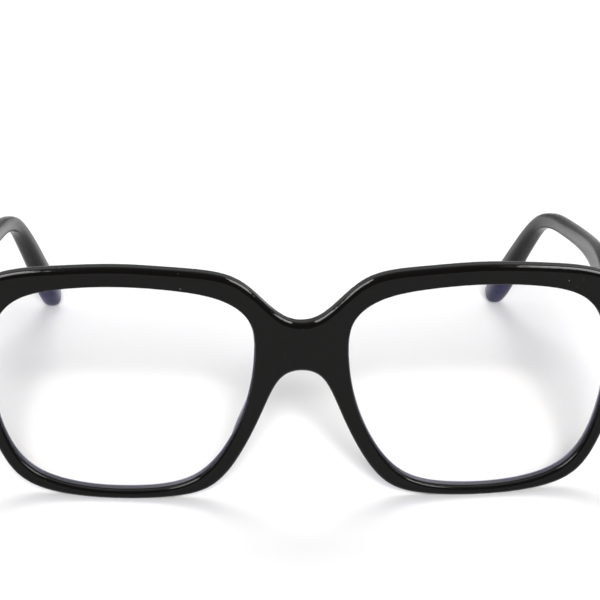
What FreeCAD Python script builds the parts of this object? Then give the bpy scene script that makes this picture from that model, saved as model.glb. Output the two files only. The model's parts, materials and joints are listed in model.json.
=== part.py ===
"""Blue light glasses: an acetate front with two plano lenses, and two folding temples on
five-barrel hinges.

The glasses stand as they do on a table, on the lower rims and on the tips of the temples.
+Z is up, the front faces -Y, the temples run back along +Y, and the wearer's left is +X.
Everything is designed from the middle of the front's lower edge. The front is made whole;
every other piece is made for the wearer's left and mirrored to the right. Last, the whole
is moved so that the origin is on the table under the middle of the object.
"""
import FreeCAD, Part

import math
import os

import Sketcher
from FreeCAD import Placement, Rotation, Vector

# Driving dimensions, in millimetres and degrees.
SIZES = {
    # front
    "front_thickness": 4.0,
    "front_curve_radius": 320.0,
    "outline_face_round": 1.1,
    "outline_back_round": 0.9,
    "opening_face_round": 0.5,
    "opening_back_round": 0.4,
    # lenses
    "lens_curve_radius": 300.0,
    "lens_thickness": 1.8,
    "lens_side": 36.3,
    "lens_height": 23.6,
    "lens_forward": 0.35,
    "lens_in_groove": 0.6,
    "lens_bevel": 0.7,
    "groove_bevel": 1.0,
    "groove_clearance": 0.15,
    # hinge
    "axis_side": 63.4,
    "axis_back": 12.5,
    "axis_height": 39.3,
    "temple_slope": 4.0,
    "barrel_radius": 1.6,
    "barrel_height": 5.2,
    "knuckle_gap": 0.06,
    "leaf_thickness": 0.8,
    "front_leaf_height": 5.6,
    "front_leaf_width": 3.7,
    "front_leaf_middle": 65.15,
    "front_lug_width": 1.4,
    "front_lug_offset": 0.6,
    "temple_leaf_height": 5.2,
    "temple_leaf_length": 9.0,
    "temple_leaf_inset": 0.25,
    "temple_leaf_splay": 2.9,
    "leaf_clearance": 0.05,
    "swing_clearance": 0.2,
    # screws
    "pin_radius": 0.7,
    "pin_head_radius": 1.05,
    "pin_clearance": 0.05,
    "screw_radius": 0.6,
    "screw_head_radius": 1.0,
    "screw_length": 2.4,
    "head_height": 0.5,
    "slot_width": 0.3,
    "slot_depth": 0.3,
    # temples
    "butt_gap": 0.2,
    "wire_radius": 0.65,
    "channel_clearance": 0.03,
    # nose pads
    "pad_depth": 3.0,
    "pad_taper": 0.3,
    "pad_edge_round": 0.4,
}

# Control points of the front's outline as (sideways, height): the half on the wearer's
# left, from the notch over the bridge round to the arch over the nose.
NOTCH_MIDDLE = (0.0, 37.8)
ARCH_MIDDLE = (0.0, 28.6)
HALF_OUTLINE = [
    (4.8, 39.2), (11.3, 46.6), (17.6, 48.7), (27.0, 49.2), (37.0, 49.8), (48.0, 49.0),
    (57.4, 48.1), (63.6, 46.2), (68.0, 42.6), (69.1, 35.5), (67.2, 24.0), (63.4, 12.6),
    (58.5, 2.8), (48.4, 0.3), (37.0, -0.15), (26.0, 0.5), (17.4, 2.4), (11.8, 10.7),
    (8.0, 18.9), (4.8, 27.3),
]
# Control points of one lens opening, from its nose side over the top.
OPENING_OUTLINE = [
    (9.2, 31.5), (9.5, 38.8), (15.8, 43.6), (26.0, 45.1), (37.0, 45.7), (48.0, 44.95),
    (57.9, 42.9), (63.0, 36.6), (63.7, 27.0), (61.9, 15.0), (56.7, 5.0), (45.5, 1.8),
    (33.0, 1.65), (21.1, 3.3), (14.2, 12.2), (10.3, 22.4),
]
# A nose pad's outline where it meets the rim.
PAD_OUTLINE = [
    (7.9, 22.7), (9.4, 23.3), (10.9, 21.2), (12.6, 17.3), (14.2, 13.4), (14.6, 10.8),
    (13.1, 10.2), (11.6, 12.3), (9.9, 16.2), (8.2, 20.1),
]
# Stations along a temple: distance back, sideways, height, the section's height, its
# thickness, and the exponent of its superellipse (2 is an ellipse, more is squarer). The
# first lies inside the front and is trimmed to the butt joint.
TEMPLE_STATIONS = [
    (7.0, 65.4, 39.6, 8.0, 3.7, 4.0),
    (14.0, 65.5, 39.3, 7.8, 3.7, 4.0),
    (26.0, 66.1, 39.3, 7.2, 3.6, 3.6),
    (44.0, 67.5, 38.8, 5.9, 3.5, 3.0),
    (66.0, 68.2, 36.8, 4.4, 3.5, 2.7),
    (86.0, 67.4, 34.5, 4.0, 3.5, 2.7),
    (99.0, 66.1, 32.7, 3.8, 3.5, 2.7),
    (107.0, 64.8, 30.1, 3.7, 3.7, 2.7),
    (114.0, 63.5, 25.4, 4.0, 4.3, 2.7),
    (126.0, 60.8, 14.3, 5.0, 5.0, 2.7),
    (138.0, 58.2, 3.2, 5.6, 5.0, 2.7),
]
# The tip's round end: distance on from the last station, and the share of its section.
TIP_ROUND = [(1.4, 0.93), (2.5, 0.74), (3.1, 0.45)]
SECTION_POINTS = 8  # steps along half a section
WIRE_FIRST, WIRE_LAST = 1, 9  # the stations between which the core wire lies
REACH = 30.0  # longer than any cut needs to be

doc = FreeCAD.newDocument("glasses")
sheet = doc.addObject("Spreadsheet::Sheet", "Sizes")
for row, (alias, value) in enumerate(SIZES.items(), start=1):
    sheet.set(f"A{row}", alias)
    sheet.set(f"B{row}", str(value))
    sheet.setAlias(f"B{row}", alias)
doc.recompute()


def size(alias):
    """The number in the sheet's cell with this alias."""
    return float(getattr(sheet, alias))


def bind(thing, **properties):
    """Bind an object's properties to expressions on the sheet."""
    for name, expression in properties.items():
        thing.setExpression(name, expression)
    return thing


# ---------------------------------------------------------------- building blocks

def place(side=0.0, back=0.0, up=0.0, turn=0.0, about=Vector(0, 0, 1)):
    """A placement: moved by the three distances, then turned about one of its own axes."""
    return Placement(Vector(side, back, up), Rotation(about, turn))


def draw_closed(sketch, points):
    """A smooth closed outline by its control points: two arcs, the first from the second
    point to the one across from it.
    """
    curve = Part.BSplineCurve()
    curve.buildFromPoles([Vector(x, z, 0) for x, z in points], True, 3)
    middle = (curve.FirstParameter + curve.LastParameter) / 2
    for start, end in ((curve.FirstParameter, middle), (middle, curve.LastParameter)):
        arc = curve.copy()
        arc.segment(start, end)
        sketch.addGeometry(arc, False)


def mirrored(points):
    return [(-x, z) for x, z in reversed(points)]


def grown(points, distance):
    """Control points moved outward, for a parallel outline. They run clockwise."""
    moved = []
    for index, (x, z) in enumerate(points):
        before = points[index - 1]
        after = points[(index + 1) % len(points)]
        run_x, run_z = after[0] - before[0], after[1] - before[1]
        length = math.hypot(run_x, run_z)
        moved.append((x - run_z / length * distance, z + run_x / length * distance))
    return moved


def new_sketch(body, name, role="XZ_Plane", offset=0.0):
    """A sketch on one of its own body's origin planes, moved along the plane's normal."""
    sketch = body.newObject("Sketcher::SketchObject", name)
    plane = next(f for f in body.Origin.OriginFeatures if f.Role == role)
    sketch.AttachmentSupport = [(plane, "")]
    sketch.MapMode = "FlatFace"
    sketch.AttachmentOffset = Placement(Vector(0, 0, offset), Rotation())
    return sketch


def polygon(sketch, corners):
    """Closed straight-sided outline with its corners joined and pinned to the sketch's axes."""
    first = sketch.GeometryCount
    count = len(corners)
    for index, corner in enumerate(corners):
        after = corners[(index + 1) % count]
        sketch.addGeometry(Part.LineSegment(Vector(*corner, 0), Vector(*after, 0)), False)
    for index in range(count):
        sketch.addConstraint(
            Sketcher.Constraint("Coincident", first + index, 2, first + (index + 1) % count, 1)
        )


def held_size(sketch, kind, name, expression, *where):
    """A dimension of the sketch, bound to the sheet."""
    number = sketch.addConstraint(Sketcher.Constraint(kind, *where, 1.0))
    sketch.renameConstraint(number, name)
    sketch.setExpression(f"Constraints.{name}", expression)


def extruded_outline(name, outlines):
    """A bar with this outline, far longer than the front is deep."""
    body = doc.addObject("PartDesign::Body", name)
    sketch = new_sketch(body, f"{name}_outline")
    for outline in outlines:
        draw_closed(sketch, outline)
    pad = body.newObject("PartDesign::Pad", f"{name}_pad")
    pad.Profile = sketch
    pad.Length = 2 * REACH
    pad.Midplane = True
    return body


def boolean(kind, name, base, tool):
    thing = doc.addObject(f"Part::{kind}", name)
    thing.Base = base
    thing.Tool = tool
    return thing


def other_side(source, name):
    """The same piece on the wearer's right."""
    mirror = doc.addObject("Part::Mirroring", name)
    mirror.Source = source
    mirror.Base = Vector(0, 0, 0)
    mirror.Normal = Vector(1, 0, 0)
    return mirror


def sphere_shell(name, thickness, centre):
    """Lens stock: the skin between two spheres round one centre, of the thickness asked."""
    outer = doc.addObject("Part::Sphere", f"{name}_front_sphere")
    bind(outer, Radius=f"Sizes.lens_curve_radius + ({thickness}) / 2")
    inner = doc.addObject("Part::Sphere", f"{name}_back_sphere")
    bind(inner, Radius=f"Sizes.lens_curve_radius - ({thickness}) / 2")
    for ball in (outer, inner):
        ball.Placement = Placement(centre, Rotation())
    return boolean("Cut", f"{name}_stock", outer, inner)


def edge_list(shape, wanted):
    """Numbers of the edges that the test picks, as Part::Fillet and Part::Chamfer want them."""
    return [number for number, edge in enumerate(shape.Edges, start=1) if wanted(edge)]


# ---------------------------------------------------------------- lenses and the front

def curve_angle(side, radius):
    """How far the front has turned back at this distance from its middle."""
    return math.asin(side / radius)


def on_front_curve(side, depth):
    """Point of the curved front: sideways, and how deep below the face it lies."""
    centre = size("front_curve_radius")
    radius = centre - depth
    return Vector(side, centre - radius * math.cos(curve_angle(side, radius)), 0)


def lens_centre():
    """Middle of the lens's curve, behind the lens, square to the front at the lens."""
    side = size("lens_side")
    depth = size("front_thickness") / 2
    middle = on_front_curve(side, depth) + Vector(0, 0, size("lens_height"))
    angle = curve_angle(side, size("front_curve_radius") - depth)
    inward = Vector(-math.sin(angle), math.cos(angle), 0)
    return middle + inward * (size("lens_curve_radius") - size("lens_forward"))


def bevelled_lens(name, grow, thickness, bevel):
    """A lens with a V-shaped edge: outline grown past the opening, both rims chamfered.

    Its outline starts apart from the opening's own, so that no seams run side by side.
    """
    outline = grown(OPENING_OUTLINE[5:] + OPENING_OUTLINE[:5], grow)
    blank = boolean("Common", f"{name}_blank", extruded_outline(f"{name}_bar", [outline]),
                    sphere_shell(name, thickness, lens_centre()))
    doc.recompute()
    lens = doc.addObject("Part::Chamfer", name)
    lens.Base = blank
    rim = edge_list(blank.Shape, lambda edge: edge.Length > 50)
    lens.Edges = [(number, bevel, bevel) for number in rim]
    return lens


def bent_sheet():
    """The sheet of acetate, bent round the face: a sector between two cylinders."""
    outer = doc.addObject("Part::Cylinder", "sheet_face")
    bind(outer, Radius="Sizes.front_curve_radius")
    inner = doc.addObject("Part::Cylinder", "sheet_back")
    bind(inner, Radius="Sizes.front_curve_radius - Sizes.front_thickness")
    for cylinder, turn, angle in ((outer, -120, 60), (inner, 90, 360)):
        cylinder.Angle = angle
        cylinder.Height = 4 * REACH
        cylinder.Placement = place(0.0, size("front_curve_radius"), -REACH, turn)
    return boolean("Cut", "bent_sheet", outer, inner)


def middle_of(edge):
    return edge.valueAt((edge.FirstParameter + edge.LastParameter) / 2)


def depth_below_face(edge):
    point = middle_of(edge)
    return point.y - on_front_curve(point.x, 0.0).y


def rounded(name, base, radius, wanted):
    """Round the edges that the test picks, all by one radius from the sheet."""
    doc.recompute()
    thing = doc.addObject("Part::Fillet", name)
    thing.Base = base
    thing.Edges = [(number, size(radius), size(radius))
                   for number in edge_list(base.Shape, wanted)]
    return thing


def round_opening(edge):
    return 60 < edge.Length < 120


def round_outline(edge):
    return edge.Length > 120


def rounded_front(shape):
    """The front with the edges of its outline and of its openings rounded, face and back."""
    near_back = size("front_thickness") - 0.2
    for name, ring in (("opening", round_opening), ("outline", round_outline)):
        shape = rounded(f"{name}_face_edge", shape, f"{name}_face_round",
                        lambda edge: ring(edge) and depth_below_face(edge) < 0.2)
        shape = rounded(f"{name}_back_edge", shape, f"{name}_back_round",
                        lambda edge: ring(edge) and depth_below_face(edge) > near_back)
    return shape


def grooved_front():
    """The front before its edges are rounded: outline and openings, bent, and grooved."""
    outline = (mirrored(HALF_OUTLINE)[-1:] + [NOTCH_MIDDLE] + HALF_OUTLINE + [ARCH_MIDDLE]
               + mirrored(HALF_OUTLINE)[:-1])
    blank = extruded_outline("front_outline", [outline, OPENING_OUTLINE,
                                               mirrored(OPENING_OUTLINE)])
    bent = boolean("Common", "front_bent", blank, bent_sheet())
    groove = bevelled_lens(
        "groove_left",
        size("lens_in_groove") + size("groove_clearance"),
        "Sizes.lens_thickness + 2 * (Sizes.groove_bevel - Sizes.lens_bevel)"
        " + 0.83 * Sizes.groove_clearance",
        size("groove_bevel"),
    )
    half_grooved = boolean("Cut", "front_half_grooved", bent, groove)
    return boolean("Cut", "front_grooved", half_grooved, other_side(groove, "groove_right"))


# ---------------------------------------------------------------- hinge and screws

def hinge_frame():
    """The hinge's own frame: Z up its pin, Y along the open temple, X outward."""
    return place(size("axis_side"), size("axis_back"), size("axis_height"),
                 -size("temple_slope"), Vector(1, 0, 0))


def front_leaf_frame():
    """On the front's back, in the middle of the leaf: Y points out of it, square to it."""
    depth = size("front_thickness")
    point = on_front_curve(size("front_leaf_middle"), depth)
    angle = curve_angle(size("front_leaf_middle"), size("front_curve_radius") - depth)
    return place(point.x, point.y, size("axis_height"), math.degrees(angle))


def temple_leaf_frame():
    """At the start of the temple's inner face: Y along the leaf, X into the temple."""
    start = size("barrel_radius") + 2 * size("swing_clearance")
    return hinge_frame() * place(size("temple_leaf_inset"), start, 0.0,
                                 -size("temple_leaf_splay"))


def box(name, length, width, height, where):
    """A box with sizes bound to the sheet: centred on X and Z, running along +Y."""
    thing = bind(doc.addObject("Part::Box", name), Length=length, Width=width, Height=height)
    doc.recompute()
    thing.Placement = where * place(-thing.Length.Value / 2, 0.0, -thing.Height.Value / 2)
    return thing


def cylinder(name, radius, height, where):
    """A cylinder with sizes bound to the sheet, centred on its place along Z."""
    thing = bind(doc.addObject("Part::Cylinder", name), Radius=radius, Height=height)
    doc.recompute()
    thing.Placement = where * place(up=-thing.Height.Value / 2)
    return thing


def fused(name, pieces):
    thing = doc.addObject("Part::MultiFuse", name)
    thing.Shapes = pieces
    return thing


def knuckles(name, first, lug_width, lug_depth, lug_side, lug_back):
    """One leaf's knuckles, every second one of five, each with the lug to its plate."""
    height = "(Sizes.barrel_height - 4 * Sizes.knuckle_gap) / 5"
    pitch = (size("barrel_height") + size("knuckle_gap")) / 5
    pieces = []
    for number in range(first, 5, 2):
        up = pitch * (number - 2)
        pieces.append(cylinder(f"{name}_knuckle_{number}", "Sizes.barrel_radius", height,
                               hinge_frame() * place(up=up)))
        pieces.append(box(f"{name}_lug_{number}", lug_width, lug_depth, height,
                          hinge_frame() * place(lug_side, lug_back, up)))
    return pieces


def head_seat(name, radius, head_radius, top):
    """The cone that a countersunk head lies in, its wide end at the top."""
    seat = doc.addObject("Part::Cone", name)
    bind(seat, Radius1=radius, Radius2=head_radius, Height="Sizes.head_height")
    seat.Placement = top * place(up=-size("head_height"))
    return seat


def bored(name, leaf):
    """The leaf with the hinge screw's hole through it and the seat for the screw's head."""
    hole = cylinder(f"{name}_bore", "Sizes.pin_radius + Sizes.pin_clearance",
                    "3 * Sizes.barrel_height", hinge_frame())
    seat = head_seat(f"{name}_head_seat", "Sizes.pin_radius + Sizes.pin_clearance",
                     "Sizes.pin_head_radius + Sizes.pin_clearance",
                     hinge_frame() * place(up=size("barrel_height") / 2))
    return boolean("Cut", name, leaf, fused(f"{name}_bore_and_seat", [hole, seat]))


def screw(name, radius, head_radius, length, top):
    """A slotted countersunk screw: turned about Z, the flat of its head at Z = 0."""
    body = doc.addObject("PartDesign::Body", name)
    profile = new_sketch(body, f"{name}_profile")
    polygon(profile, [(0, -5), (1, -5), (1, -1), (2, 0), (0, 0)])
    profile.addConstraint(Sketcher.Constraint("Coincident", 3, 2, -1, 1))
    for side, kind in ((0, "Horizontal"), (1, "Vertical"), (3, "Horizontal"), (4, "Vertical")):
        profile.addConstraint(Sketcher.Constraint(kind, side))
    held_size(profile, "DistanceX", "radius", radius, 0, 1, 0, 2)
    held_size(profile, "DistanceX", "head", head_radius, 3, 2, 2, 2)
    held_size(profile, "DistanceY", "length", length, 0, 1, 3, 2)
    held_size(profile, "DistanceY", "cone", "Sizes.head_height", 2, 1, 2, 2)
    turned = body.newObject("PartDesign::Revolution", f"{name}_turned")
    turned.Profile = profile
    turned.ReferenceAxis = (profile, ["V_Axis"])
    turned.Angle = 360
    slot = new_sketch(body, f"{name}_slot", "XY_Plane")
    polygon(slot, [(-2, -0.2), (2, -0.2), (2, 0.2), (-2, 0.2)])
    for side, kind in enumerate(("Horizontal", "Vertical", "Horizontal", "Vertical")):
        slot.addConstraint(Sketcher.Constraint(kind, side))
    slot.addConstraint(Sketcher.Constraint("Symmetric", 0, 1, 2, 1, -1, 1))
    held_size(slot, "DistanceY", "width", "Sizes.slot_width", 1, 1, 1, 2)
    held_size(slot, "DistanceX", "length", "4 * Sizes.pin_head_radius", 0, 1, 0, 2)
    doc.recompute()
    cut = body.newObject("PartDesign::Pocket", f"{name}_slot_cut")
    cut.Profile = slot
    bind(cut, Length="Sizes.slot_depth")
    body.Tip = cut
    doc.recompute()
    if not cut.Shape.Volume < turned.Shape.Volume:
        raise ValueError(f"the slot of {name} cuts nothing")
    body.Placement = top
    return body


def leaf_screw(name, top):
    return screw(name, "Sizes.screw_radius", "Sizes.screw_head_radius", "Sizes.screw_length",
                 top)


def screw_holes(name, tops):
    """The holes of a set of leaf screws, each with the seat for its head."""
    pieces = []
    for number, top in enumerate(tops):
        hole = bind(doc.addObject("Part::Cylinder", f"{name}_{number}"),
                    Radius="Sizes.screw_radius", Height="Sizes.screw_length")
        hole.Placement = top * place(up=-size("screw_length"))
        pieces += [hole, head_seat(f"{name}_seat_{number}", "Sizes.screw_radius",
                                   "Sizes.screw_head_radius", top)]
    return fused(name, pieces)


def front_screw_tops():
    """Their heads face out of the front's back, one over the other beside the knuckles."""
    return [front_leaf_frame() * place(0.75, 0.0, up, -90, Vector(1, 0, 0))
            for up in (1.5, -1.5)]


def temple_screw_tops():
    """Their heads face the wearer, the first one higher."""
    return [temple_leaf_frame() * place(0.0, back, up, -90, Vector(0, 1, 0))
            for back, up in ((2.6, 1.55), (6.6, -1.5))]


def front_leaf():
    """Plate sunk flush in the front's back, with the first, third and fifth knuckles."""
    plate = box("front_leaf_plate", "Sizes.front_leaf_width", "Sizes.leaf_thickness",
                "Sizes.front_leaf_height",
                front_leaf_frame() * place(back=-size("leaf_thickness")))
    lug_depth = "Sizes.barrel_radius + Sizes.leaf_thickness"
    lugs = knuckles("front_leaf", 0, "Sizes.front_lug_width", lug_depth,
                    size("front_lug_offset"), -size("barrel_radius") - size("leaf_thickness"))
    drilled = boolean("Cut", "front_leaf_drilled", fused("front_leaf_solid", [plate] + lugs),
                      screw_holes("front_leaf_holes", front_screw_tops()))
    return bored("front_hinge_left", drilled)


def temple_leaf():
    """Plate sunk flush in the temple's inner face, with the second and fourth knuckles."""
    plate = box("temple_leaf_plate", "Sizes.leaf_thickness", "Sizes.temple_leaf_length",
                "Sizes.temple_leaf_height",
                temple_leaf_frame() * place(size("leaf_thickness") / 2))
    lugs = knuckles("temple_leaf", 1, "Sizes.leaf_thickness",
                    "Sizes.barrel_radius + 3 * Sizes.swing_clearance",
                    size("temple_leaf_inset") + size("leaf_thickness") / 2, 0.0)
    drilled = boolean("Cut", "temple_leaf_drilled",
                      fused("temple_leaf_solid", [plate] + lugs),
                      screw_holes("temple_leaf_holes", temple_screw_tops()))
    return bored("temple_hinge_left", drilled)


# ---------------------------------------------------------------- temples

def section(point, along, height, thickness, squareness):
    """The temple's cross-section at one place on its line: a superellipse across it, in an
    upper and a lower arc.
    """
    side = (Vector(1, 0, 0) - along * along.x).normalize()
    up = side.cross(along)
    arcs = []
    for sign in (1, -1):
        points = []
        for number in range(SECTION_POINTS + 1):
            turn = math.pi * number / SECTION_POINTS
            across, rise = (math.copysign(abs(wave(turn)) ** (2 / squareness), wave(turn))
                            for wave in (math.cos, math.sin))
            points.append(point + (side * (across * thickness) + up * (rise * height))
                          * (sign / 2))
        arc = Part.BSplineCurve()
        arc.interpolate(Points=points, InitialTangent=up * sign, FinalTangent=up * -sign)
        arcs.append(arc.toShape())
    return Part.Wire(arcs)


def temple_line():
    """Each station as a point of the temple's middle line and the line's direction there."""
    points = [Vector(side, back, height) for back, side, height, *_ in TEMPLE_STATIONS]
    line = Part.BSplineCurve()
    line.interpolate(points)
    return [(point, line.tangent(line.parameter(point))[0]) for point in points]


def arm_shape():
    """The bare arm, from inside the front to the round tip."""
    wires = []
    for (point, along), (*_, height, thickness, squareness) in zip(temple_line(),
                                                                   TEMPLE_STATIONS):
        wires.append(section(point, along, height, thickness, squareness))
    for distance, share in TIP_ROUND:
        wires.append(section(point + along * distance, along, height * share,
                             thickness * share, squareness))
    return Part.makeLoft(wires, True, False)


def round_bar(radius):
    """A bar of this radius that follows the temple's middle line as far as the wire does."""
    rings = [Part.Wire([Part.Circle(point, along, radius).toShape()])
             for point, along in temple_line()[WIRE_FIRST:WIRE_LAST + 1]]
    return Part.makeLoft(rings, True, False)


def shaped(name, shape):
    thing = doc.addObject("Part::Feature", name)
    thing.Shape = shape
    return thing


def behind_front(name, gap="0"):
    """All that lies behind the front's back, or behind a gap of this width to it."""
    space = bind(doc.addObject("Part::Cylinder", name),
                 Radius=f"Sizes.front_curve_radius - Sizes.front_thickness - {gap}")
    space.Height = 4 * REACH
    space.Placement = place(0.0, size("front_curve_radius"), -REACH)
    return space


def wire_channel():
    """The core wire's own channel, and its straight mouth at the temple's front end."""
    radius = size("wire_radius") + size("channel_clearance")
    mouth = bind(doc.addObject("Part::Cylinder", "channel_mouth"),
                 Radius="Sizes.wire_radius + Sizes.channel_clearance")
    mouth.Height = REACH
    point, along = temple_line()[WIRE_FIRST]
    mouth.Placement = Placement(point, Rotation(Vector(0, 0, 1), along * -1))
    return [shaped("channel", round_bar(radius)), mouth]


def hinge_room():
    """What is cut from the temple so that its leaf lies flush and the knuckles can turn."""
    swing = cylinder("swing_room", "Sizes.barrel_radius + Sizes.swing_clearance",
                     "3 * Sizes.barrel_height", hinge_frame())
    lugs = box("lug_room", "2 * (Sizes.barrel_radius + Sizes.swing_clearance)",
               "3 * Sizes.barrel_radius", "3 * Sizes.barrel_height",
               hinge_frame() * place(back=-3 * size("barrel_radius")))
    wall = size("leaf_thickness") + size("leaf_clearance")
    seat = box("leaf_room", f"{2 * wall}",
               "Sizes.temple_leaf_length + Sizes.barrel_radius + Sizes.leaf_clearance",
               "Sizes.temple_leaf_height + 2 * Sizes.leaf_clearance",
               temple_leaf_frame() * place(back=-size("barrel_radius")))
    return [swing, lugs, seat]


def temple():
    """The arm, cut at the butt joint and hollowed for the hinge, its screws and the wire."""
    trimmed = boolean("Common", "arm_trimmed", shaped("arm", arm_shape()),
                      behind_front("behind_joint", "Sizes.butt_gap"))
    room = hinge_room() + wire_channel() + [screw_holes("temple_holes", temple_screw_tops())]
    return boolean("Cut", "temple_left", trimmed, fused("temple_room", room))


# ---------------------------------------------------------------- nose pads

def nose_pad():
    """A small wedge of acetate cemented to the back of the rim beside the nose."""
    body = doc.addObject("PartDesign::Body", "pad_blank")
    foot = new_sketch(body, "pad_foot", offset=-3.0)
    draw_closed(foot, PAD_OUTLINE)
    top = new_sketch(body, "pad_top")
    draw_closed(top, grown(PAD_OUTLINE, -size("pad_taper")))
    bind(top, **{"AttachmentOffset.Base.z": "-(Sizes.front_thickness + Sizes.pad_depth)"})
    loft = body.newObject("PartDesign::AdditiveLoft", "pad_loft")
    loft.Profile = foot
    loft.Sections = [top]
    seated = boolean("Common", "pad_seated", body, behind_front("behind_rim"))
    doc.recompute()
    free_end = size("front_thickness") + size("pad_depth") - 0.01
    return rounded("nose_pad_left", seated, "pad_edge_round",
                   lambda edge: edge.BoundBox.YMin > free_end)


# ---------------------------------------------------------------- the whole

def front():
    """The front, with the pockets for the front leaves and their screws."""
    leaf_room = box("front_leaf_room", "Sizes.front_leaf_width + 2 * Sizes.leaf_clearance",
                    "2 * Sizes.leaf_thickness",
                    "Sizes.front_leaf_height + 2 * Sizes.leaf_clearance",
                    front_leaf_frame()
                    * place(back=-size("leaf_thickness") - size("leaf_clearance")))
    room = fused("front_room", [leaf_room, screw_holes("front_holes", front_screw_tops())])
    one_side = boolean("Cut", "front_one_side", rounded_front(grooved_front()), room)
    return boolean("Cut", "front_frame", one_side, other_side(room, "front_room_right"))


def left_pieces():
    """Every piece of the wearer's left side, under its own name."""
    screws = {f"front_plate_screw_{level}_left": top
              for level, top in zip(("upper", "lower"), front_screw_tops())}
    screws.update({f"temple_plate_screw_{level}_left": top
                   for level, top in zip(("front", "rear"), temple_screw_tops())})
    pieces = [leaf_screw(name, top) for name, top in screws.items()]
    pieces.append(screw("hinge_screw_left", "Sizes.pin_radius", "Sizes.pin_head_radius",
                        "Sizes.barrel_height",
                        hinge_frame() * place(up=size("barrel_height") / 2)))
    pieces.append(bevelled_lens("lens_left", size("lens_in_groove"), "Sizes.lens_thickness",
                                size("lens_bevel")))
    pieces.append(shaped("core_wire_left", round_bar(size("wire_radius"))))
    return pieces + [front_leaf(), temple_leaf(), temple(), nose_pad()]


def box_round(pieces):
    """The box round all the pieces: its two far corners."""
    boxes = [piece.Shape.optimalBoundingBox(False, False) for piece in pieces]
    low = Vector(*(min(getattr(b, side) for b in boxes) for side in ("XMin", "YMin", "ZMin")))
    high = Vector(*(max(getattr(b, side) for b in boxes) for side in ("XMax", "YMax", "ZMax")))
    return low, high


def check(pieces):
    """Stop unless every object is up to date and every piece is one valid solid."""
    for thing in doc.Objects:
        if "Invalid" in thing.State or "Error" in thing.State:
            raise ValueError(f"{thing.Label}: {thing.State}")
    for piece in pieces:
        shape = piece.Shape
        if shape.isNull() or not shape.isValid() or len(shape.Solids) != 1:
            raise ValueError(f"{piece.Label} is not one valid solid")
        if shape.Volume <= 0:
            raise ValueError(f"{piece.Label} is inside out")


left = left_pieces()
right = [other_side(piece, piece.Name.replace("_left", "_right")) for piece in left]
nodes = [front()] + left + right
doc.recompute()

low, high = box_round(nodes)
to_origin = place(-(low.x + high.x) / 2, -(low.y + high.y) / 2, -low.z)
for node in nodes:
    node.Placement = to_origin * node.Placement
check(nodes)
print("moved by", to_origin.Base, "box", high - low)

os.makedirs("parts", exist_ok=True)
for node in nodes:
    node.Label = node.Name
    node.Shape.exportStep(f"parts/{node.Label}.step")
    print(node.Label, round(node.Shape.Volume, 2))
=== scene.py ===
# %% [markdown]
# # Blue light glasses: looks built round a CAD frame
#
# This file dresses a pair of acetate glasses, whose solid parts come from a CAD model, with
# materials, fine detail, light and a camera. It is laid out as a lesson: each step first says
# what it does and why, then does it, and most steps print something that can be checked.
#
# All lengths are in metres. +Z is up, the front of the glasses faces -Y, and +X is the
# wearer's left. The table is at Z = 0.

import json
import math

import bmesh
import bpy
from mathutils import Matrix, Vector


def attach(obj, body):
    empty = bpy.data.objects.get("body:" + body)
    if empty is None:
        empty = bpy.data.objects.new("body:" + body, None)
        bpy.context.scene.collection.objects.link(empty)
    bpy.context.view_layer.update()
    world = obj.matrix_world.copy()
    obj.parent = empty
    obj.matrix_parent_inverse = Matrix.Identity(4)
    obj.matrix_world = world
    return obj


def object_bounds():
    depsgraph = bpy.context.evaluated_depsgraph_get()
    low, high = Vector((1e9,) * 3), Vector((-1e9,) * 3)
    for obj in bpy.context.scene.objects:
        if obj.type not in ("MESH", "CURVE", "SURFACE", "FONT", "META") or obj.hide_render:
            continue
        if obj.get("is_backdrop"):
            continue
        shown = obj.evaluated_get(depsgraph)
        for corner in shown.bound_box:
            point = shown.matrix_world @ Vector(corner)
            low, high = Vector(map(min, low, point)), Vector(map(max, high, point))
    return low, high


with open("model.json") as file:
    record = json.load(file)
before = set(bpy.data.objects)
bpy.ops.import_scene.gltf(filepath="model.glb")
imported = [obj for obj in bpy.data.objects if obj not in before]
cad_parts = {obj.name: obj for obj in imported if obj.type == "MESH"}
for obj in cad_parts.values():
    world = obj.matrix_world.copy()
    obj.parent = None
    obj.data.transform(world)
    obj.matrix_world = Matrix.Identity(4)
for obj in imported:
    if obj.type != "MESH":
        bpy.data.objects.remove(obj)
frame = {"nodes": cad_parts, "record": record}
nodes = frame["nodes"]
cad_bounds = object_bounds()

# %% [markdown]
# ## Writing shader maths as arithmetic
#
# A shader is a graph of nodes. Wiring each one by hand hides the idea, so one small class
# wraps an output socket and gives it the usual operators. `a * 0.5 + b` then builds the two
# Math nodes and links them.

# %% A socket that can be used in sums
class Wave:
    """An output socket of a shader graph, usable in arithmetic."""

    def __init__(self, graph, socket):
        self.graph = graph
        self.socket = socket

    def _math(self, operation, *values):
        found = self.graph.node("ShaderNodeMath", {"operation": operation},
                                dict(enumerate(values)))
        return found.out(0)

    def __add__(self, other):
        return self._math("ADD", self, other)

    __radd__ = __add__

    def __mul__(self, other):
        return self._math("MULTIPLY", self, other)

    __rmul__ = __mul__

    def __sub__(self, other):
        return self._math("SUBTRACT", self, other)

    def __rsub__(self, other):
        return self._math("SUBTRACT", other, self)

    def __pow__(self, other):
        return self._math("POWER", self, other)

    def __gt__(self, other):
        return self._math("GREATER_THAN", self, other)

    def clamp(self, low, high):
        """This value scaled so that low becomes 0 and high becomes 1, and held there."""
        ranged = self.graph.node(
            "ShaderNodeMapRange", {"interpolation_type": "SMOOTHSTEP"},
            {"Value": self, "From Min": low, "From Max": high})
        return ranged.out(0)


class Node:
    """A shader node whose outputs come back as waves."""

    def __init__(self, graph, node):
        self.graph = graph
        self.node = node

    def out(self, name):
        return Wave(self.graph, self.node.outputs[name])


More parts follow.
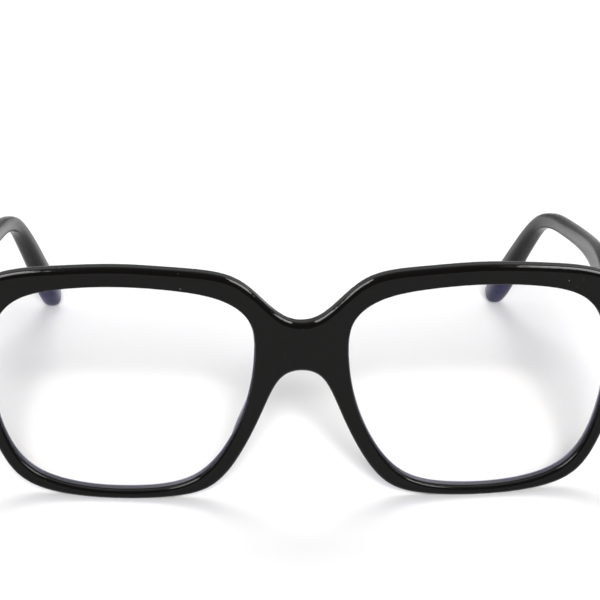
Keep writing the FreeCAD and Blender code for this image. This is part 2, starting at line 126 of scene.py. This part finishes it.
class Graph:
    """The node graph of one material, or of the world."""

    def __init__(self, owner):
        owner.use_nodes = True
        self.tree = owner.node_tree
        self.tree.nodes.clear()

    def node(self, kind, settings=None, inputs=None):
        """Any node: its settings first, then what its sockets hold or are linked to."""
        made = self.tree.nodes.new(kind)
        for name, value in (settings or {}).items():
            setattr(made, name, value)
        for name, value in (inputs or {}).items():
            if isinstance(value, Wave):
                self.tree.links.new(value.socket, made.inputs[name])
            elif value is not None:
                made.inputs[name].default_value = value
        return Node(self, made)

    def place(self):
        """Where the shaded point is, in the object's own space."""
        return self.node("ShaderNodeTexCoord").out("Object")

    def noise(self, scale, detail=3.0, stretch=None):
        """Cloudy variation from 0 to 1. Stretch makes it longer along an axis."""
        at = self.place()
        if stretch:
            at = self.node("ShaderNodeMapping", {}, {"Vector": at, "Scale": stretch}).out(0)
        return self.node("ShaderNodeTexNoise", {}, {
            "Vector": at, "Scale": scale, "Detail": detail, "Roughness": 0.5}).out(0)

    def specks(self, scale, size):
        """1 inside small scattered dots, 0 between them."""
        cells = self.node("ShaderNodeTexVoronoi", {"feature": "F1"}, {
            "Vector": self.place(), "Scale": scale, "Randomness": 1.0})
        return 1.0 - (cells.out("Distance").clamp(size * 0.5, size))

    def mix_colour(self, factor, first, second):
        mixed = self.node("ShaderNodeMix", {"data_type": "RGBA"}, {
            "Factor": factor, 6: first, 7: second})
        return mixed.out(2)

    def bump(self, height, strength, distance):
        return self.node("ShaderNodeBump", {}, {
            "Height": height, "Strength": strength, "Distance": distance}).out(0)

    def finish(self, shader, kind="ShaderNodeOutputMaterial"):
        self.node(kind, {}, {"Surface": shader})


print("shader helpers ready")

# %% [markdown]
# ## Acetate
#
# Polished acetate is a dark, slightly warm plastic under a clear gloss. Close up it isn't
# perfect: tumbling leaves faint waviness, wiping leaves hair-thin scratches that show only
# as a change of gloss, and a little dust always sits on it. Each of these is a pattern that
# drives roughness, colour or the bump, never the constant parts of the shader.

# %% Acetate material
def acetate(name, tone, gloss, index, dust=1.0, along=(1.0, 1.0, 1.0)):
    """Polished acetate. Its wiping marks are drawn out where along is less than 1."""
    material = bpy.data.materials.new(name)
    graph = Graph(material)
    cloud = graph.noise(90.0, 4.0)
    wipe = graph.noise(420.0, 2.0, stretch=along)
    scratch = (graph.noise(900.0, 1.0, stretch=(along[0] * 0.2, along[1], along[2] * 6.0))
               .clamp(0.66, 0.72))
    motes = graph.specks(330.0, 0.055) * (graph.noise(60.0, 1.0) > 0.56) * dust
    lint = graph.specks(900.0, 0.07) * (graph.noise(130.0, 1.0) > 0.6) * (0.5 * dust)
    colour = graph.mix_colour(cloud, (*(0.8 * c for c in tone), 1.0), (*tone, 1.0))
    colour = graph.mix_colour(motes * 0.35 + lint * 0.2, colour, (0.45, 0.42, 0.38, 1.0))
    rough = gloss + 0.05 * wipe + 0.05 * scratch + 0.25 * motes + 0.05 * cloud
    wavy = graph.noise(160.0, 2.0) * 0.7 + graph.noise(2400.0, 2.0) * 0.05 + motes * 0.4
    shader = graph.node("ShaderNodeBsdfPrincipled", {}, {
        "Base Color": colour, "Roughness": rough, "IOR": index,
        "Normal": graph.bump(wavy, 0.22, 0.0002)}).out(0)
    graph.finish(shader)
    return material


front_acetate = acetate("front_acetate", (0.0032, 0.0029, 0.0027), 0.05, 1.23)
temple_acetate = acetate("temple_acetate", (0.0040, 0.0037, 0.0036), 0.17, 1.23,
                         along=(1.0, 0.15, 1.0))
pad_acetate = acetate("pad_acetate", (0.0050, 0.0047, 0.0046), 0.16, 1.34, dust=0.5)
print("acetate:", front_acetate.name, temple_acetate.name, pad_acetate.name)

# %% [markdown]
# ## Metal
#
# The hinges are nickel silver, milled and then tumbled, so their faces carry fine lines.
# The screws are harder and brighter. The core wire is drawn, with lines along its length.

# %% Metal materials
def metal(name, tone, gloss, lines, tarnish=0.25):
    """Bare metal with brushed lines, some tarnish and a few pits."""
    material = bpy.data.materials.new(name)
    graph = Graph(material)
    brushed = graph.noise(2600.0, 3.0, stretch=lines)
    stain = graph.noise(500.0, 4.0)
    pits = graph.specks(2600.0, 0.12)
    colour = graph.mix_colour(stain * tarnish, (*tone, 1.0),
                              (tone[0] * 0.62, tone[1] * 0.58, tone[2] * 0.5, 1.0))
    rough = gloss + 0.18 * brushed + 0.12 * stain + 0.2 * pits
    shader = graph.node("ShaderNodeBsdfPrincipled", {}, {
        "Base Color": colour, "Metallic": 1.0, "Roughness": rough,
        "Normal": graph.bump(brushed * 0.6 + pits * -0.5, 0.3, 0.00003)}).out(0)
    graph.finish(shader)
    return material


hinge_metal = metal("hinge_metal", (0.60, 0.59, 0.57), 0.18, (0.2, 3.0, 1.0))
screw_steel = metal("screw_steel", (0.72, 0.72, 0.73), 0.12, (1.0, 1.0, 1.0), 0.1)
core_wire = metal("core_wire", (0.58, 0.58, 0.57), 0.22, (2.0, 0.1, 2.0))
print("metal:", hinge_metal.name, screw_steel.name, core_wire.name)

# %% [markdown]
# ## Lenses
#
# A thin plano lens hardly bends light, so most of it passes straight through. What shows is
# the anti-reflective coat: a weak blue-violet reflection that grows towards grazing angles.
# Schlick's rule, a fifth power of how far the surface turns from the eye, gives that growth.
# It treats both faces of the lens alike, so the back face doesn't turn into a mirror. Dust and
# faint smears break the reflection up. The bevelled rim is ground, so it is duller: the shader
# finds it by its normal, which on the bevel leans away from the lens's axis.

# %% Lens material
def ground_edge(graph, dark, light):
    """The dull, slightly violet surface that edging leaves on a lens."""
    ground = graph.noise(1800.0, 3.0)
    return graph.node("ShaderNodeBsdfPrincipled", {}, {
        "Base Color": graph.mix_colour(ground, (dark, dark, 1.2 * dark, 1.0),
                                       (light, light, 1.25 * light, 1.0)),
        "Roughness": 0.3 + 0.3 * ground,
        "Normal": graph.bump(ground, 0.2, 0.00005)}).out(0)


def lens_material():
    """A coated, see-through lens with a ground bevel."""
    material = bpy.data.materials.new("lens")
    graph = Graph(material)
    clean = graph.node("ShaderNodeBsdfTransparent", {}, {
        "Color": (1.0, 0.996, 0.98, 1.0)}).out(0)
    smear = graph.noise(70.0, 3.0, stretch=(1.0, 1.0, 0.4))
    motes = graph.specks(260.0, 0.03) * (graph.noise(50.0, 1.0) > 0.58)
    coat = graph.node("ShaderNodeBsdfPrincipled", {}, {
        "Base Color": graph.mix_colour(smear, (0.20, 0.24, 0.92, 1.0),
                                       (0.30, 0.26, 0.94, 1.0)),
        "Metallic": 1.0,
        "Roughness": 0.02 + 0.05 * smear,
        "Normal": graph.bump(smear, 0.05, 0.0001)}).out(0)
    grazing = graph.node("ShaderNodeLayerWeight", {}, {"Blend": 0.5}).out("Facing")
    edge = 0.023 + 0.5 * grazing ** 5.0
    coated = graph.node("ShaderNodeMixShader", {}, {
        0: edge * (1.1 + 0.3 * smear), 1: clean, 2: coat}).out(0)
    dust = graph.node("ShaderNodeBsdfPrincipled", {}, {
        "Base Color": (0.5, 0.48, 0.45, 1.0), "Roughness": 0.8}).out(0)
    optic = graph.node("ShaderNodeMixShader", {}, {0: motes * 0.25, 1: coated, 2: dust}).out(0)
    normal = graph.node("ShaderNodeTexCoord").out("Normal")
    facing = graph.node("ShaderNodeSeparateXYZ", {}, {0: normal}).out(1)
    bevel = 1.0 - (facing * facing).clamp(0.80, 0.92)
    graph.finish(graph.node("ShaderNodeMixShader", {}, {
        0: bevel, 1: optic, 2: ground_edge(graph, 0.030, 0.052)}).out(0))
    return material


def rim_highlight_material():
    """The broken corner of the ground edge, painted lighter than the bevel as a highlight."""
    material = bpy.data.materials.new("painted_rim_highlight")
    graph = Graph(material)
    # The lighter greys paint the thin line of light that the broken corner catches.
    graph.finish(ground_edge(graph, 0.19, 0.28))
    return material


lens = lens_material()
painted_rim_highlight = rim_highlight_material()
print("lens materials:", lens.name, painted_rim_highlight.name)

# %% [markdown]
# ## Dressing the CAD nodes
#
# Every CAD node gets the material of its slot in the record. Nothing else about it changes.

# %% Materials on the nodes
by_slot = {
    "front_acetate": front_acetate, "temple_acetate": temple_acetate,
    "pad_acetate": pad_acetate, "lens": lens, "hinge_metal": hinge_metal,
    "screw_steel": screw_steel, "core_wire": core_wire,
}
for part in frame["record"]["subparts"]:
    thing = nodes[part["node"]]
    thing.data.materials.clear()
    thing.data.materials.append(by_slot[part["material_slot"]])

# %% [markdown]
# ## Finding a lens's rim
#
# Because the CAD mesh keeps its faces apart, each face of the lens is an island. The two
# largest are its optical surfaces. The boundary of either is the curve along which the lens
# turns into its bevel, and that is where a thin line of light shows in real lenses; here a
# painted highlight along it stands for that line.

# %% Islands of a mesh and the loop round one
def islands(obj):
    """The mesh's connected groups of faces, largest area first."""
    mesh = bmesh.new()
    mesh.from_mesh(obj.data)
    seen = set()
    groups = []
    for start in mesh.faces:
        if start.index in seen:
            continue
        group, queue = [], [start]
        seen.add(start.index)
        while queue:
            face = queue.pop()
            group.append(face)
            for edge in face.edges:
                for other in edge.link_faces:
                    if other.index not in seen:
                        seen.add(other.index)
                        queue.append(other)
        groups.append(group)
    groups.sort(key=lambda g: -sum(f.calc_area() for f in g))
    return mesh, groups


def same_place(point):
    """The point rounded to a tenth of a micrometre, to compare corners of faces kept apart."""
    return tuple(round(c, 7) for c in point)


def rim_loop(obj, toward):
    """The boundary of the island that faces most nearly this way, as points in order."""
    mesh, groups = islands(obj)
    largest_few = groups[:4]
    optic = max(largest_few, key=lambda g: sum(f.normal.dot(toward) * f.calc_area() for f in g))
    members = {f.index for f in optic}
    after = {}
    for face in optic:
        for loop in face.loops:
            if all(f.index not in members or f == face for f in loop.edge.link_faces):
                after[same_place(loop.vert.co)] = loop.link_loop_next.vert.co.copy()
    start = next(iter(after))
    points = [Vector(start)]
    key = same_place(after[start])
    while key != start and key in after and len(points) <= len(after):
        points.append(Vector(key))
        key = same_place(after[key])
    mesh.free()
    return points


print("two mesh walkers ready")

# %% [markdown]
# ## The bright edge of each lens, a painted highlight
#
# Where the back of a lens turns into its bevel, the coating stops and the ground edge begins.
# That corner isn't perfectly sharp: it is broken to about a tenth of a millimetre and catches
# light as a thin violet line inside the rim. A fine ring is laid along it. Its pale violet
# colour, far lighter than the bevel's, is a painted highlight that stands for that line of
# light.

# %% Edge rings
def painted_highlight_ring(side, radius=0.00007):
    """A fine ring along the back rim of one lens, in the colour of a painted highlight."""
    points = rim_loop(nodes[f"lens_{side}"], Vector((0, 1, 0)))
    path = bpy.data.curves.new(f"lens_edge_highlight_{side}", "CURVE")
    path.dimensions = "3D"
    path.bevel_depth = radius
    path.bevel_resolution = 3
    spline = path.splines.new("POLY")
    spline.points.add(len(points) - 1)
    for spot, point in zip(spline.points, points):
        spot.co = (*point, 1.0)
    spline.use_cyclic_u = True
    rope = bpy.data.objects.new(f"lens_edge_highlight_{side}_path", path)
    mesh = bpy.data.meshes.new_from_object(rope)
    bpy.data.objects.remove(rope)
    ring = bpy.data.objects.new(f"lens_edge_highlight_{side}", mesh)
    bpy.context.scene.collection.objects.link(ring)
    ring.data.materials.clear()
    # This material is the painted highlight of the broken corner.
    ring.data.materials.append(painted_rim_highlight)
    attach(ring, "front")
    print(ring.name, len(points), "points round")


for side in ("left", "right"):
    painted_highlight_ring(side)

# %% [markdown]
# ## The stage
#
# A plain white floor, wide enough to fill the view. The room round it is dim: darkest in front,
# a little lighter overhead and lightest behind. The polished edges reflect it, so the front
# of each edge reads as black and its top as a soft grey.

# %% Floor and room
def floor_material():
    """White card with a slight unevenness."""
    material = bpy.data.materials.new("floor")
    graph = Graph(material)
    grain = graph.noise(9.0, 4.0)
    graph.finish(graph.node("ShaderNodeBsdfPrincipled", {}, {
        "Base Color": graph.mix_colour(grain, (0.915, 0.915, 0.918, 1.0),
                                       (0.935, 0.935, 0.935, 1.0)),
        "Roughness": 0.85 + 0.05 * grain}).out(0))
    return material


mesh = bpy.data.meshes.new("floor")
reach = 4.0
mesh.from_pydata([(-reach, -reach, 0), (reach, -reach, 0), (reach, reach, 0),
                  (-reach, reach, 0)], [], [(0, 1, 2, 3)])
floor = bpy.data.objects.new("floor", mesh)
bpy.context.scene.collection.objects.link(floor)
floor.data.materials.append(floor_material())
floor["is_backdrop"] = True

world = bpy.data.worlds.new("room")
bpy.context.scene.world = world
room = Graph(world)
direction = room.node("ShaderNodeTexCoord").out("Generated")
parts = room.node("ShaderNodeSeparateXYZ", {}, {0: direction})
up, ahead = parts.out(2), parts.out(1)
overhead = up.clamp(0.45, 0.95)
behind = ahead.clamp(-0.2, 0.6)
level = 0.06 + 0.12 * overhead + 0.34 * behind
room.finish(room.node("ShaderNodeBackground", {}, {
    "Color": (1.0, 1.0, 1.0, 1.0), "Strength": level}).out(0), "ShaderNodeOutputWorld")
print("floor and room set,", round(2 * reach, 1), "m of floor")

# %% [markdown]
# ## Lamps and cards
#
# The light comes in two sorts, as in a studio. Lamps in front and behind cast the wide, pale
# shadows of the rims. White cards to the left and right overhead do nothing but run as thin
# bright lines along the edges that slope to either side.

# %% Lamps and cards
def lamp(name, kind, place, **settings):
    """A lamp of this kind, aimed at the glasses."""
    data = bpy.data.lights.new(name, kind)
    for setting, value in settings.items():
        setattr(data, setting, value)
    thing = bpy.data.objects.new(name, data)
    bpy.context.scene.collection.objects.link(thing)
    thing.location = place
    aim = Vector((0.0, 0.0, 0.02)) - Vector(place)
    thing.rotation_euler = aim.to_track_quat("-Z", "Y").to_euler()
    return thing


# Distant lamps light the table evenly and cast the shadows. The gloss doesn't mirror them.
front_lamp = lamp("front_lamp", "SUN", (0.0, -0.95, 0.46), energy=5.0,
                  angle=math.radians(13))
back_lamp = lamp("back_lamp", "SUN", (0.0, 0.72, 0.75), energy=1.15,
                 angle=math.radians(32))
for thing in (front_lamp, back_lamp):
    thing.visible_glossy = False

# Cards that only the gloss sees.
for side in (-1, 1):
    card = lamp(f"card_{side}", "AREA", (side * 0.62, 0.05, 0.86), shape="RECTANGLE",
                size=0.9, size_y=0.5, energy=24.0)
    card.visible_diffuse = False

# %% [markdown]
# ## The camera
#
# A long lens close by, a little above the glasses and turned slightly, so that the front
# fills the frame and both temples run out of it.

# %% Camera
target = Vector((-0.0005, -0.0706, 0.0433))
elevation, azimuth = math.radians(17.0), math.radians(-3.0)
distance = 0.462
roll = math.radians(0.45)
look = Vector((-math.sin(azimuth) * math.cos(elevation),
               math.cos(azimuth) * math.cos(elevation), -math.sin(elevation)))
lens_data = bpy.data.cameras.new("camera")
lens_data.sensor_width = 36.0
lens_data.lens = 138.6
lens_data.clip_start = 0.01
camera = bpy.data.objects.new("camera", lens_data)
bpy.context.scene.collection.objects.link(camera)
camera.location = target - look * distance
turn = look.to_track_quat("-Z", "Y").to_matrix().to_4x4()
camera.matrix_world = (Matrix.Translation(camera.location) @ turn
                       @ Matrix.Rotation(roll, 4, "Z"))
bpy.context.scene.camera = camera
bpy.context.scene.view_settings.view_transform = "Standard"
print("camera at", [round(c, 4) for c in camera.location])

# %% [markdown]
# ## Measure and finish
#
# The bounds after dressing are set beside those of the bare CAD; side by side they show whether
# the looks have outgrown the solid parts.

# %% Bounds and the end
def plain(value):
    """Vectors as plain lists, at any depth."""
    if isinstance(value, dict):
        return {key: plain(inner) for key, inner in value.items()}
    if isinstance(value, (list, tuple, Vector)):
        return [plain(inner) for inner in value]
    return value if isinstance(value, str) else float(value)


{"cad": plain(cad_bounds), "visual": plain(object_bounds())}
